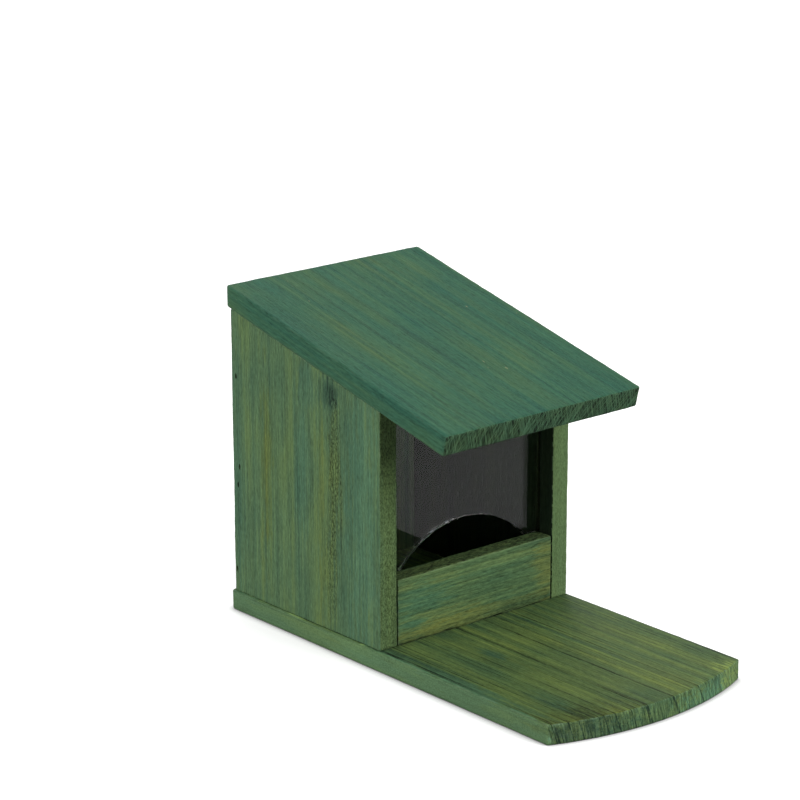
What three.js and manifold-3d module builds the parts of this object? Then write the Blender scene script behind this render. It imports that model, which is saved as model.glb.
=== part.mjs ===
// Squirrel feeder box of green-stained softwood boards, with a hinged lid and a sliding clear pane.
// Millimetres, +Z up. The front faces -Y. The origin is under the middle of the whole box.
// Inside this file y is measured from the front faces of the two sides, and z from the floor.

import * as THREE from "three";
import { mergeVertices } from "three/addons/utils/BufferGeometryUtils.js";
import Module from "manifold-3d";

const wasm = await Module();
wasm.setup();

// Side boards
const bodyWidth = 120; // over the outer faces of both sides
const sideThickness = 10.5;
const sideDepth = 112;
const sideFrontHeight = 117.5;
const lidPitch = THREE.MathUtils.degToRad(13.5);

// Back board, held between the sides
const backThickness = 10.5;
const backProud = 2; // how far it stands out behind the sides

// Front board, held between the sides
const frontBoardHeight = 33;
const frontBoardThickness = 10.5;
const frontBoardEndGap = 0.5;

// Base board, which reaches forward as the feeding platform
const baseThickness = 10;
const baseSideOverhang = 1;
const platformReach = 116; // its front corners, ahead of the sides
const platformBow = 12.5; // how far its curved front edge swells past those corners

// Lid board
const lidThickness = 10.5;
const lidSideOverhang = 1;
const lidFrontReach = 45.5;

// Clear pane and its grooves
const paneThickness = 2;
const paneLap = 1.3; // how much of the pane's thickness stands on the front board
const paneTopClearance = 2.7;
const paneFaceSlack = 0.4;
const paneEndSlack = 0.7;
const grooveDepth = 4.5;
const footWidth = 13.8;
const archHeight = 17.9;

// Butt hinge at the middle of the back
const hingeLength = 38;
const leafHeight = 11.5; // from the pin's axis to the leaf's free edge
const leafThickness = 1;
const leafCornerRadius = 1.5;
const barrelRadius = 2.2;
const pinRadius = 1.1;
const pinClearance = 0.15;
const pinAxisDrop = 2.2; // below the lid's rear lower edge
const knuckleGap = 0.3;
const knuckleShares = [0.25, 0.75]; // where the barrel is split, along its length

// Screws of the hinge
const screwLength = 8.5;
const screwShankRadius = 1.1;
const screwHeadRadius = 2.2;
const screwHeadRim = 0.2;
const screwHeadHeight = 1.1;
const screwPoint = 2;
const recessWidth = 0.6;
const recessLength = 2.6;
const recessDepth = 0.7;
const screwReachShare = 0.65; // of the leaf's height
const screwSpreadShare = 0.64; // of the leaf's length

// Brads, driven by a nail gun, with flat oblong heads sunk under the surface
const bradLength = 24;
const bradHeadLength = 3.2;
const bradHeadHeight = 0.8;
const bradWidth = 1.3;
const bradPoint = 1.5;
const bradSink = 0.6;

// Places of the brads, as shares of the boards that they go through
const sideBradShares = [ // up the side's front height, and across the back board's thickness
  [0.1, 0.62],
  [0.475, 0.44],
  [0.555, 0.3],
  [0.945, 0.46],
];
const baseBradShares = [0.2, 0.55, 0.9]; // back along the side
const crossBradShare = 0.2; // of the body's width, out from its middle

// Clearances and edges
const seatGap = 0.3; // between a piece and what it rests on at a slant, or is driven into
const cutOverrun = 1;
const arris = 0.5; // eased edges round the boards' faces
const cornerRound = 1.1; // eased corners of their outlines

// Smoothness
const arrisSteps = 2;
const cornerSteps = 3;
const bowSteps = 28;
const archSteps = 28;
const roundSteps = 24;

// Levels and planes that several pieces share
const insideHalfWidth = bodyWidth / 2 - sideThickness;
const rearPlane = sideDepth + backProud;
const roofHeight = (y) => baseThickness + sideFrontHeight + y * Math.tan(lidPitch);
const lidUnderside = (y) => roofHeight(y) + seatGap / Math.cos(lidPitch);
const paneFront = frontBoardThickness - paneLap;
const paneSill = baseThickness + frontBoardHeight + seatGap;
const pinAxisY = rearPlane + barrelRadius;
const pinAxisZ = lidUnderside(rearPlane) - pinAxisDrop;

// Axes that carry an outline's plane, and the direction that it is extruded in
const across = new THREE.Matrix4().makeBasis(
  new THREE.Vector3(0, 1, 0),
  new THREE.Vector3(0, 0, 1),
  new THREE.Vector3(1, 0, 0),
);
const forward = new THREE.Matrix4().makeBasis(
  new THREE.Vector3(1, 0, 0),
  new THREE.Vector3(0, 0, 1),
  new THREE.Vector3(0, -1, 0),
);

// A closed solid for cutting and joining, from a closed three.js geometry.
function toSolid(geometry) {
  const bare = geometry.clone();
  bare.deleteAttribute("normal");
  bare.deleteAttribute("uv");
  const merged = mergeVertices(bare);
  const index = merged.index.array;
  const kept = [];
  for (let i = 0; i < index.length; i += 3) {
    const [a, b, c] = index.slice(i, i + 3);
    if (a !== b && b !== c && c !== a) kept.push(a, b, c);
  }
  return new wasm.Manifold(new wasm.Mesh({
    numProp: 3,
    vertProperties: new Float32Array(merged.attributes.position.array),
    triVerts: new Uint32Array(kept),
  }));
}

function toGeometry(solid) {
  const mesh = solid.getMesh();
  const geometry = new THREE.BufferGeometry();
  geometry.setAttribute("position", new THREE.BufferAttribute(mesh.vertProperties, 3));
  geometry.setIndex(new THREE.BufferAttribute(mesh.triVerts, 1));
  const flat = geometry.toNonIndexed();
  flat.computeVertexNormals();
  return flat;
}

// The geometry with every cutter taken out of it.
function cut(geometry, cutters) {
  let solid = toSolid(geometry);
  for (const cutter of cutters) solid = solid.subtract(toSolid(cutter));
  return toGeometry(solid);
}

function join(geometries) {
  const [first, ...others] = geometries.map(toSolid);
  return toGeometry(others.reduce((whole, solid) => whole.add(solid), first));
}

// A closed outline through the corners, each one rounded off.
function easedOutline(corners, radius) {
  const shape = new THREE.Shape();
  corners.forEach((corner, i) => {
    const before = corners.at(i - 1);
    const after = corners[(i + 1) % corners.length];
    const start = corner.clone().add(before.clone().sub(corner).setLength(radius));
    const end = corner.clone().add(after.clone().sub(corner).setLength(radius));
    if (i === 0) shape.moveTo(start.x, start.y);
    else shape.lineTo(start.x, start.y);
    shape.quadraticCurveTo(corner.x, corner.y, end.x, end.y);
  });
  shape.closePath();
  return shape;
}

// A board: its outline, extruded and centred on the outline's plane, with eased edges.
function board(outline, thickness, axes) {
  const geometry = new THREE.ExtrudeGeometry(outline, {
    depth: thickness - 2 * arris,
    curveSegments: cornerSteps,
    bevelEnabled: true,
    bevelThickness: arris,
    bevelSize: arris,
    bevelOffset: -arris,
    bevelSegments: arrisSteps,
  });
  geometry.translate(0, 0, arris - thickness / 2);
  return geometry.applyMatrix4(axes);
}

// A plain plate with sharp edges, extruded and centred in the same way.
function plate(outline, thickness, axes) {
  const geometry = new THREE.ExtrudeGeometry(outline, {
    depth: thickness,
    curveSegments: cornerSteps,
    bevelEnabled: false,
  });
  geometry.translate(0, 0, -thickness / 2);
  return geometry.applyMatrix4(axes);
}

function block(from, to) {
  const size = to.clone().sub(from);
  const geometry = new THREE.BoxGeometry(size.x, size.y, size.z);
  return geometry.translate(...from.clone().add(to).divideScalar(2).toArray());
}

// A round bar along X about the hinge pin's axis, between two places.
function barrel(radius, fromX, toX) {
  const geometry = new THREE.CylinderGeometry(radius, radius, toX - fromX, roundSteps);
  geometry.rotateZ(Math.PI / 2);
  return geometry.translate((fromX + toX) / 2, pinAxisY, pinAxisZ);
}

// A turned part about local Z, from an outline that starts and ends on the axis.
function turned(profile) {
  const points = profile.map(([radius, height]) => new THREE.Vector2(radius, height));
  return new THREE.LatheGeometry(points, roundSteps).rotateX(Math.PI / 2);
}

// Where a fixing goes: its head's place, the way it is driven, and the way its head lies.
function driven(at, along, headAlong) {
  const side = along.clone().cross(headAlong);
  const frame = new THREE.Matrix4().makeBasis(headAlong, side, along);
  return frame.setPosition(at);
}

// A brad's T-shaped side view, driven along local Z from the surface at zero.
// Grown by a clearance and opened past the surface, it is the hole that the brad sits in.
function bradGeometry(grow, top) {
  const head = bradHeadLength / 2 + grow;
  const shank = bradWidth / 2 + grow;
  const neck = bradSink + bradHeadHeight + grow;
  const tip = bradSink + bradLength + grow;
  const shape = new THREE.Shape();
  shape.moveTo(-head, top);
  shape.lineTo(head, top);
  shape.lineTo(head, neck);
  shape.lineTo(shank, neck);
  shape.lineTo(shank, tip - bradPoint);
  shape.lineTo(0, tip);
  shape.lineTo(-shank, tip - bradPoint);
  shape.lineTo(-shank, neck);
  shape.lineTo(-head, neck);
  shape.closePath();
  return plate(shape, bradWidth + 2 * grow, forward);
}

const bradHole = (place) => bradGeometry(seatGap, -cutOverrun).applyMatrix4(place);

// The brads: two rows through the sides, and one field up through the base.
const bradPlaces = [];
for (const [sideName, hand] of [["left", -1], ["right", 1]]) {
  sideBradShares.forEach(([heightShare, depthShare], i) => {
    const y = rearPlane - backThickness * (1 - depthShare);
    const z = baseThickness + sideFrontHeight * heightShare;
    bradPlaces.push({
      name: `brad_${sideName}_side_${i + 1}`,
      boards: [`${sideName}_side`, "back_board"],
      place: driven(
        new THREE.Vector3(hand * bodyWidth / 2, y, z),
        new THREE.Vector3(-hand, 0, 0),
        new THREE.Vector3(0, 0, 1),
      ),
    });
  });
  baseBradShares.forEach((share, i) => {
    bradPlaces.push({
      name: `brad_base_to_${sideName}_side_${i + 1}`,
      boards: ["base_board", `${sideName}_side`],
      place: driven(
        new THREE.Vector3(hand * (bodyWidth - sideThickness) / 2, sideDepth * share, 0),
        new THREE.Vector3(0, 0, 1),
        new THREE.Vector3(0, 1, 0),
      ),
    });
  });
  const crossBoards = [
    ["back_board", rearPlane - backThickness / 2],
    ["front_board", frontBoardThickness / 2],
  ];
  for (const [boardName, y] of crossBoards) {
    bradPlaces.push({
      name: `brad_base_to_${boardName}_${sideName}`,
      boards: ["base_board", boardName],
      place: driven(
        new THREE.Vector3(hand * bodyWidth * crossBradShare, y, 0),
        new THREE.Vector3(0, 0, 1),
        new THREE.Vector3(1, 0, 0),
      ),
    });
  }
}

const bradHoles = (boardName) => bradPlaces
  .filter((brad) => brad.boards.includes(boardName))
  .map((brad) => bradHole(brad.place));

// The screws: two through each leaf, driven forward into the wood behind it.
const screwPlaces = [];
for (const [leafName, up] of [["case", -1], ["lid", 1]]) {
  for (const [sideName, hand] of [["left", -1], ["right", 1]]) {
    screwPlaces.push({
      name: `screw_${leafName}_leaf_${sideName}`,
      leaf: leafName,
      place: driven(
        new THREE.Vector3(
          hand * hingeLength * screwSpreadShare / 2,
          rearPlane + leafThickness,
          pinAxisZ + up * leafHeight * screwReachShare,
        ),
        new THREE.Vector3(0, -1, 0),
        new THREE.Vector3(1, 0, 0),
      ),
    });
  }
}

// A screw's profile: countersunk head, shank and point. Grown and opened, it is its own hole.
function screwProfile(grow, top) {
  return [
    [0, top],
    [screwHeadRadius + grow, top],
    [screwHeadRadius + grow, screwHeadRim],
    [screwShankRadius + grow, screwHeadHeight],
    [screwShankRadius + grow, screwLength - screwPoint],
    [0, screwLength + grow],
  ];
}

const screwHole = (place) => turned(screwProfile(seatGap, -cutOverrun)).applyMatrix4(place);

const screwHoles = (leafName) => screwPlaces
  .filter((screw) => screw.leaf === leafName)
  .map((screw) => screwHole(screw.place));

function baseBoard() {
  const halfWidth = bodyWidth / 2 + baseSideOverhang;
  const bowRadius = (halfWidth ** 2 + platformBow ** 2) / (2 * platformBow);
  const bowCentre = bowRadius - platformReach - platformBow;
  const halfAngle = Math.asin(halfWidth / bowRadius);
  const shape = new THREE.Shape();
  shape.moveTo(-halfWidth, rearPlane - cornerRound);
  for (let i = 0; i <= bowSteps; i += 1) {
    const angle = halfAngle * (2 * i / bowSteps - 1);
    shape.lineTo(bowRadius * Math.sin(angle), bowCentre - bowRadius * Math.cos(angle));
  }
  shape.lineTo(halfWidth, rearPlane - cornerRound);
  shape.quadraticCurveTo(halfWidth, rearPlane, halfWidth - cornerRound, rearPlane);
  shape.lineTo(cornerRound - halfWidth, rearPlane);
  shape.quadraticCurveTo(-halfWidth, rearPlane, -halfWidth, rearPlane - cornerRound);
  const geometry = board(shape, baseThickness, new THREE.Matrix4());
  geometry.translate(0, 0, baseThickness / 2);
  return cut(geometry, bradHoles("base_board"));
}

function sideBoard(hand, name) {
  const outline = easedOutline([
    new THREE.Vector2(0, baseThickness),
    new THREE.Vector2(sideDepth, baseThickness),
    new THREE.Vector2(sideDepth, roofHeight(sideDepth)),
    new THREE.Vector2(0, roofHeight(0)),
  ], cornerRound);
  const geometry = board(outline, sideThickness, across);
  geometry.translate(hand * (bodyWidth - sideThickness) / 2, 0, 0);
  const grooveInner = hand * (insideHalfWidth - cutOverrun);
  const grooveOuter = hand * (insideHalfWidth + grooveDepth);
  const groove = block(
    new THREE.Vector3(
      Math.min(grooveInner, grooveOuter),
      paneFront - paneFaceSlack,
      baseThickness - cutOverrun,
    ),
    new THREE.Vector3(
      Math.max(grooveInner, grooveOuter),
      paneFront + paneThickness + paneFaceSlack,
      roofHeight(sideDepth) + cutOverrun,
    ),
  );
  return cut(geometry, [groove, ...bradHoles(name)]);
}

function backBoard() {
  const inner = rearPlane - backThickness;
  const outline = easedOutline([
    new THREE.Vector2(inner, baseThickness),
    new THREE.Vector2(rearPlane, baseThickness),
    new THREE.Vector2(rearPlane, roofHeight(rearPlane)),
    new THREE.Vector2(inner, roofHeight(inner)),
  ], cornerRound);
  const geometry = board(outline, 2 * insideHalfWidth, across);
  return cut(geometry, [...bradHoles("back_board"), ...screwHoles("case")]);
}

function frontBoard() {
  const outline = easedOutline([
    new THREE.Vector2(0, baseThickness),
    new THREE.Vector2(frontBoardThickness, baseThickness),
    new THREE.Vector2(frontBoardThickness, baseThickness + frontBoardHeight),
    new THREE.Vector2(0, baseThickness + frontBoardHeight),
  ], cornerRound);
  const geometry = board(outline, 2 * (insideHalfWidth - frontBoardEndGap), across);
  return cut(geometry, bradHoles("front_board"));
}

// The lid's rear end is cut plumb, to carry the hinge leaf, and its front end is square.
function lidBoard() {
  const frontLow = new THREE.Vector2(-lidFrontReach, lidUnderside(-lidFrontReach));
  const square = new THREE.Vector2(-Math.sin(lidPitch), Math.cos(lidPitch));
  const rearLow = new THREE.Vector2(rearPlane, lidUnderside(rearPlane));
  const outline = easedOutline([
    frontLow,
    rearLow,
    rearLow.clone().add(new THREE.Vector2(0, lidThickness / Math.cos(lidPitch))),
    frontLow.clone().add(square.multiplyScalar(lidThickness)),
  ], cornerRound);
  const geometry = board(outline, bodyWidth + 2 * lidSideOverhang, across);
  return cut(geometry, screwHoles("lid"));
}

// A sheet whose foot is cut away in an arch between two short feet.
function windowPane() {
  const halfWidth = insideHalfWidth + grooveDepth - paneEndSlack;
  const archHalf = halfWidth - footWidth;
  const top = roofHeight(paneFront) - paneTopClearance;
  const archRadius = (archHalf ** 2 + archHeight ** 2) / (2 * archHeight);
  const archCentre = paneSill + archHeight - archRadius;
  const halfAngle = Math.asin(archHalf / archRadius);
  const shape = new THREE.Shape();
  shape.moveTo(-halfWidth, paneSill);
  for (let i = 0; i <= archSteps; i += 1) {
    const angle = halfAngle * (2 * i / archSteps - 1);
    shape.lineTo(archRadius * Math.sin(angle), archCentre + archRadius * Math.cos(angle));
  }
  shape.lineTo(halfWidth, paneSill);
  shape.lineTo(halfWidth, top);
  shape.lineTo(-halfWidth, top);
  shape.closePath();
  const geometry = plate(shape, paneThickness, forward);
  return geometry.translate(0, paneFront + paneThickness / 2, 0);
}

// A leaf: a flat plate whose edge is rolled round the pin. The case's leaf holds the two outer
// knuckles and hangs down, and the lid's leaf holds the middle one and stands up.
function hingeLeaf(leafName, up, knuckles, free) {
  const half = hingeLength / 2;
  const edge = pinAxisZ + up * leafHeight;
  const outline = easedOutline([
    new THREE.Vector2(-half, edge),
    new THREE.Vector2(half, edge),
    new THREE.Vector2(half, pinAxisZ),
    new THREE.Vector2(-half, pinAxisZ),
  ], leafCornerRadius);
  const flat = plate(outline, leafThickness, forward);
  flat.translate(0, rearPlane + leafThickness / 2, 0);
  const clearRadius = barrelRadius + knuckleGap;
  const notches = free.map(([from, to]) => block(
    new THREE.Vector3(from - knuckleGap, rearPlane - cutOverrun, pinAxisZ - clearRadius),
    new THREE.Vector3(to + knuckleGap, pinAxisY, pinAxisZ + clearRadius),
  ));
  const notched = cut(flat, notches);
  const rolls = knuckles.map(([from, to]) => barrel(barrelRadius, from, to));
  const bore = barrel(pinRadius + pinClearance, -hingeLength, hingeLength);
  return cut(join([notched, ...rolls]), [bore, ...screwHoles(leafName)]);
}

const barrelSplits = knuckleShares.map((share) => hingeLength * (share - 1 / 2));
const outerKnuckles = [
  [-hingeLength / 2, barrelSplits[0] - knuckleGap / 2],
  [barrelSplits[1] + knuckleGap / 2, hingeLength / 2],
];
const middleKnuckles = [[barrelSplits[0] + knuckleGap / 2, barrelSplits[1] - knuckleGap / 2]];
const beyondEnds = [
  [-hingeLength / 2 - cutOverrun, barrelSplits[0]],
  [barrelSplits[1], hingeLength / 2 + cutOverrun],
];

function hingePin() {
  return barrel(pinRadius, -hingeLength / 2, hingeLength / 2);
}

function hingeScrew() {
  const slots = [[recessLength, recessWidth], [recessWidth, recessLength]];
  return cut(turned(screwProfile(0, 0)), slots.map(([x, y]) => block(
    new THREE.Vector3(-x / 2, -y / 2, -cutOverrun),
    new THREE.Vector3(x / 2, y / 2, recessDepth),
  )));
}

const sideFinish = { color: 0x4b6b4a, roughness: 0.75, metalness: 0 };
const baseFinish = { color: 0x5f6f38, roughness: 0.75, metalness: 0 };
const frontFinish = { color: 0x4f7350, roughness: 0.75, metalness: 0 };
const lidFinish = { color: 0x426d5a, roughness: 0.65, metalness: 0 };
const clearFinish = { color: 0xdfe8e6, roughness: 0.05, metalness: 0, transparent: true, opacity: 0.3 };
const steelFinish = { color: 0xb4b7ba, roughness: 0.35, metalness: 1 };
const bradFinish = { color: 0x5a5a55, roughness: 0.5, metalness: 1 };

function piece(name, geometry, finish) {
  const mesh = new THREE.Mesh(geometry, new THREE.MeshStandardMaterial(finish));
  mesh.name = name;
  return mesh;
}

// A fixing is made once about its own axis, and each copy is placed where it is driven.
function fixing(name, geometry, finish, place) {
  const mesh = piece(name, geometry, finish);
  mesh.applyMatrix4(place);
  return mesh;
}

const feeder = new THREE.Group();
const hinge = new THREE.Group();
const fixings = new THREE.Group();

feeder.add(
  piece("base_board", baseBoard(), baseFinish),
  piece("left_side", sideBoard(-1, "left_side"), sideFinish),
  piece("right_side", sideBoard(1, "right_side"), sideFinish),
  piece("back_board", backBoard(), sideFinish),
  piece("front_board", frontBoard(), frontFinish),
  piece("lid_board", lidBoard(), lidFinish),
  piece("window_pane", windowPane(), clearFinish),
  hinge,
  fixings,
);
hinge.add(
  piece("hinge_case_leaf", hingeLeaf("case", -1, outerKnuckles, middleKnuckles), steelFinish),
  piece("hinge_lid_leaf", hingeLeaf("lid", 1, middleKnuckles, beyondEnds), steelFinish),
  piece("hinge_pin", hingePin(), steelFinish),
);
for (const screw of screwPlaces) {
  hinge.add(fixing(screw.name, hingeScrew(), steelFinish, screw.place));
}
for (const brad of bradPlaces) {
  fixings.add(fixing(brad.name, bradGeometry(0, bradSink), bradFinish, brad.place));
}

// The whole box is centred front to back: its curved front edge and its hinge reach furthest.
const frontmost = -platformReach - platformBow;
const rearmost = pinAxisY + barrelRadius;
feeder.position.y = -(frontmost + rearmost) / 2;

export default feeder;
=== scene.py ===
"""A small squirrel feeder: a green-stained hopper with a hinged lid and a sliding clear pane."""

import math

import bmesh
import bpy
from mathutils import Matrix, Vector


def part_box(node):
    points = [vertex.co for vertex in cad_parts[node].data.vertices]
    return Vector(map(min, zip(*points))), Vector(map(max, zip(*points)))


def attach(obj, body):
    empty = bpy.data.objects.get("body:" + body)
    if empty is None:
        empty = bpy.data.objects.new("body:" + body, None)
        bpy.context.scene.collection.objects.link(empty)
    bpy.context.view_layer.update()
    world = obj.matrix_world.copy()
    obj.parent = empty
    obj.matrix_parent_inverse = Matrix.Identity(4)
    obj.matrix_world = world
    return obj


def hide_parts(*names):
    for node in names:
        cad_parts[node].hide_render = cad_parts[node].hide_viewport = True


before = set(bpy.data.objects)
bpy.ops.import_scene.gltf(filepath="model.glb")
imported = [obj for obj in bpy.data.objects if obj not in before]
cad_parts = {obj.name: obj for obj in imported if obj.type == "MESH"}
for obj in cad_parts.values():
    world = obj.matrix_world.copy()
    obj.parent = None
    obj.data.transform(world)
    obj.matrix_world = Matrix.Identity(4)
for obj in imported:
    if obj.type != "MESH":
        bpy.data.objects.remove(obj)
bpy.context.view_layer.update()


# Base board: one planed softwood board, its front sawn to a shallow bow as the feeding platform.
# It is stained olive green. The rest of the box stands on it and is nailed up through it.

BASE_HALF_WIDTH = 0.061
BASE_FRONT = -0.11095
BASE_REAR = 0.11905
BASE_THICKNESS = 0.010
BASE_BOW = 0.0125
BASE_ROUND = 0.0018
GRID_PITCH = 0.0015
ARRIS = 0.0007
SLIT_SHARE = 0.95
SLIT_REACH = 0.001
SLIT_PROUD_SHARE = 0.7
SAME_PLACE = 1e-6
UPRIGHT = (0, 0, 1)


def take_up(piece):
    """Makes one piece the only one selected, and the active one."""
    bpy.ops.object.select_all(action="DESELECT")
    bpy.context.view_layer.objects.active = piece
    piece.select_set(True)


def edit_piece(piece):
    """Goes into edit mode on one piece, with nothing of it selected."""
    take_up(piece)
    bpy.ops.object.mode_set(mode="EDIT")
    bpy.ops.mesh.select_mode(type="VERT")
    bpy.ops.mesh.select_all(action="DESELECT")


def pick_points(piece, wanted):
    """Selects the points of the piece in edit whose place is wanted."""
    bpy.ops.mesh.select_mode(type="VERT")
    bpy.ops.mesh.select_all(action="DESELECT")
    live = bmesh.from_edit_mesh(piece.data)
    for point in live.verts:
        point.select = wanted(point.co)
    live.select_flush(True)
    bmesh.update_edit_mesh(piece.data)


def pick_edges(piece, axis, wanted):
    """Selects the edges that run along an axis and whose middle is wanted, and gives the longest."""
    bpy.ops.mesh.select_mode(type="EDGE")
    bpy.ops.mesh.select_all(action="DESELECT")
    live = bmesh.from_edit_mesh(piece.data)
    longest = 0
    for edge in live.edges:
        run = edge.verts[1].co - edge.verts[0].co
        middle = (edge.verts[0].co + edge.verts[1].co) / 2
        edge.select = abs(run[axis]) > 0.8 * run.length and wanted(middle)
        if edge.select:
            longest = max(longest, run.length)
    bmesh.update_edit_mesh(piece.data)
    return longest


def saw_square(name, low, high):
    """A block sawn square between two corners, with its place in its mesh."""
    bpy.ops.object.select_all(action="DESELECT")
    middle = (Vector(low) + Vector(high)) / 2
    bpy.ops.mesh.primitive_cube_add(size=1, location=middle, scale=Vector(high) - Vector(low))
    block = bpy.context.object
    block.name = name
    block.data.name = name
    bpy.ops.object.transform_apply(location=True, rotation=True, scale=True)
    return block


def divide(piece, axis, wanted=lambda middle: True):
    """Cuts the wanted edges along one axis into stretches of about the grid's pitch."""
    edit_piece(piece)
    longest = pick_edges(piece, axis, wanted)
    bpy.ops.mesh.subdivide(number_cuts=max(1, round(longest / GRID_PITCH) - 1))
    bpy.ops.object.mode_set(mode="OBJECT")


def round_corners(board, radius, wanted, planes):
    """Rounds the wanted upright edges, and scores the board a radius in from the ends they meet."""
    edit_piece(board)
    pick_edges(board, 2, wanted)
    bpy.ops.mesh.bevel(offset=radius, segments=4, affect="EDGES")
    for place, facing in planes:
        bpy.ops.mesh.select_all(action="SELECT")
        inward = Vector(place) - Vector(facing).normalized() * radius
        bpy.ops.mesh.bisect(plane_co=inward, plane_no=facing)
    bpy.ops.object.mode_set(mode="OBJECT")


def apply_all(piece):
    """Applies a piece's modifiers in their order."""
    take_up(piece)
    for modifier in list(piece.modifiers):
        bpy.ops.object.modifier_apply(modifier=modifier.name)


def ease_edges(piece, arris=ARRIS, steps=3):
    """Takes the sharp arrises off a piece."""
    easing = piece.modifiers.new("eased arrises", "BEVEL")
    easing.width = arris
    easing.segments = steps
    easing.limit_method = "ANGLE"
    easing.angle_limit = math.radians(50)
    apply_all(piece)


def weather(board, planed, sawn=()):
    """Makes the faces uneven, wears the arrises here and there, and roughs up the sawn faces."""
    worn_group = board.vertex_groups.new(name="worn")
    sawn_group = board.vertex_groups.new(name="sawn")
    worn_marks = []
    for point in board.data.vertices:
        flatness = max(abs(point.normal.dot(Vector(face))) for face in (*planed, *sawn))
        worn_marks.append(min(1, max(0, (1 - flatness) * 5)))
        worn_group.add([point.index], worn_marks[-1], "REPLACE")
        roughness = max((abs(point.normal.dot(Vector(face))) for face in sawn), default=0)
        sawn_group.add([point.index], max(0, roughness * 2 - 1), "REPLACE")
    board.data.attributes.new("rubbed", "FLOAT", "POINT").data.foreach_set("value", worn_marks)
    for layer, strength, size, group, middle in [
        ("swell", 0.00025, 0.03, "", 0.5),
        ("wear", 0.0004, 0.004, "worn", 0.75),
        ("saw", 0.0003, 0.0022, "sawn", 0.5),
    ]:
        clouds = bpy.data.textures.new(f"{board.name} {layer}", "CLOUDS")
        clouds.noise_scale = size
        clouds.noise_depth = 2
        displace = board.modifiers.new(layer, "DISPLACE")
        displace.texture = clouds
        displace.strength = strength
        displace.mid_level = middle
        displace.vertex_group = group
    apply_all(board)


def cut_away(piece, cutter):
    """Cuts a piece by another, which is used up."""
    cutting = piece.modifiers.new("cut", "BOOLEAN")
    cutting.operation = "DIFFERENCE"
    cutting.object = cutter
    cutting.solver = "EXACT"
    apply_all(piece)
    bpy.data.objects.remove(cutter)


def brad_slit(board, brad, axis, outward):
    """The slit over a sunken brad head, narrower than the head, where the fibres sprang back."""
    low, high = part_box(brad)
    middle = (low + high) / 2
    proud = outward * SLIT_PROUD_SHARE * SLIT_REACH
    middle[axis] = (high if outward > 0 else low)[axis] + proud
    size = SLIT_SHARE * (high - low)
    size[axis] = 2 * SLIT_REACH
    bpy.ops.object.select_all(action="DESELECT")
    tilt = 0 if axis == 2 else math.pi / 2
    bpy.ops.mesh.primitive_cylinder_add(
        vertices=16, radius=0.5, depth=1, location=middle, rotation=(0, tilt, 0),
    )
    slit = bpy.context.object
    bpy.ops.object.transform_apply(location=True, rotation=True, scale=True)
    edit_piece(slit)
    bpy.ops.mesh.select_all(action="SELECT")
    bpy.ops.transform.resize(value=size, center_override=middle)
    bpy.ops.object.mode_set(mode="OBJECT")
    cut_away(board, slit)


def finish_shape(piece, angle=35):
    """Shades a piece smooth, but for edges sharper than the angle."""
    take_up(piece)
    bpy.ops.object.shade_smooth_by_angle(angle=math.radians(angle))


base = saw_square(
    "base_board_planed",
    (-BASE_HALF_WIDTH, BASE_FRONT, 0),
    (BASE_HALF_WIDTH, BASE_REAR, BASE_THICKNESS),
)
round_corners(
    base, BASE_ROUND,
    wanted=lambda middle: middle.y > 0,
    planes=[
        ((0, BASE_REAR, 0), (0, 1, 0)),
        ((BASE_HALF_WIDTH, 0, 0), (1, 0, 0)),
        ((-BASE_HALF_WIDTH, 0, 0), (-1, 0, 0)),
    ],
)
divide(base, 0, lambda middle: abs(middle.x) < BASE_HALF_WIDTH - BASE_ROUND)
edit_piece(base)
bow_radius = (BASE_HALF_WIDTH**2 + BASE_BOW**2) / (2 * BASE_BOW)
columns = sorted({
    round(point.co.x, 5) for point in bmesh.from_edit_mesh(base.data).verts if point.co.y < 0
})
for column in columns:
    pick_points(base, lambda at: round(at.x, 5) == column and at.y < 0)
    reach = math.sqrt(bow_radius**2 - column**2) - (bow_radius - BASE_BOW)
    bpy.ops.transform.translate(value=(0, -reach, 0))
bpy.ops.object.mode_set(mode="OBJECT")
divide(base, 1, lambda middle: middle.y < BASE_REAR - BASE_ROUND)
divide(base, 2)
ease_edges(base)
weather(base, planed=[(1, 0, 0), (0, 0, 1), (0, 1, 0)])
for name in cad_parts:
    if name.startswith("brad_base"):
        brad_slit(base, name, 2, -1)
finish_shape(base)


def shade(red, green, blue):
    """A stain's colour as it is read off a colour card, as linear light."""
    parts = [part / 255 for part in (red, green, blue)]
    return [part / 12.92 if part <= 0.04045 else ((part + 0.055) / 1.055) ** 2.4 for part in parts] + [1]


def bare_finish(name):
    """A new material, with its nodes and its shader."""
    finish = bpy.data.materials.new(name)
    finish.use_nodes = True
    return finish, finish.node_tree, finish.node_tree.nodes["Principled BSDF"]


def wire(tree, kind, sockets, **settings):
    """Adds a node to a finish's tree, and joins or sets its inputs."""
    node = tree.nodes.new(kind)
    for setting, value in settings.items():
        setattr(node, setting, value)
    for socket, value in sockets.items():
        if isinstance(value, bpy.types.NodeSocket):
            tree.links.new(value, node.inputs[socket])
        else:
            node.inputs[socket].default_value = value
    return node.outputs


def sums(tree, operation, first, second=0.0, third=0.0):
    """A sum of single values, named by its operation."""
    return wire(tree, "ShaderNodeMath", {0: first, 1: second, 2: third}, operation=operation)[0]


def vectors(tree, operation, first, second=(0, 0, 0), third=(0, 0, 0), scale=1.0):
    """A sum of places or colours, named by its operation."""
    sockets = {0: first, 1: second, 2: third, 3: scale}
    outputs = wire(tree, "ShaderNodeVectorMath", sockets, operation=operation)
    return outputs["Value" if operation in ("DOT_PRODUCT", "LENGTH") else "Vector"]


def ramp_between(tree, value, start, end, low=0.0, high=1.0):
    """Runs softly from low to high while the value runs from start to end."""
    sockets = {"Value": value, "From Min": start, "From Max": end, "To Min": low, "To Max": high}
    return wire(tree, "ShaderNodeMapRange", sockets, interpolation_type="SMOOTHSTEP")["Result"]


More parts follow.
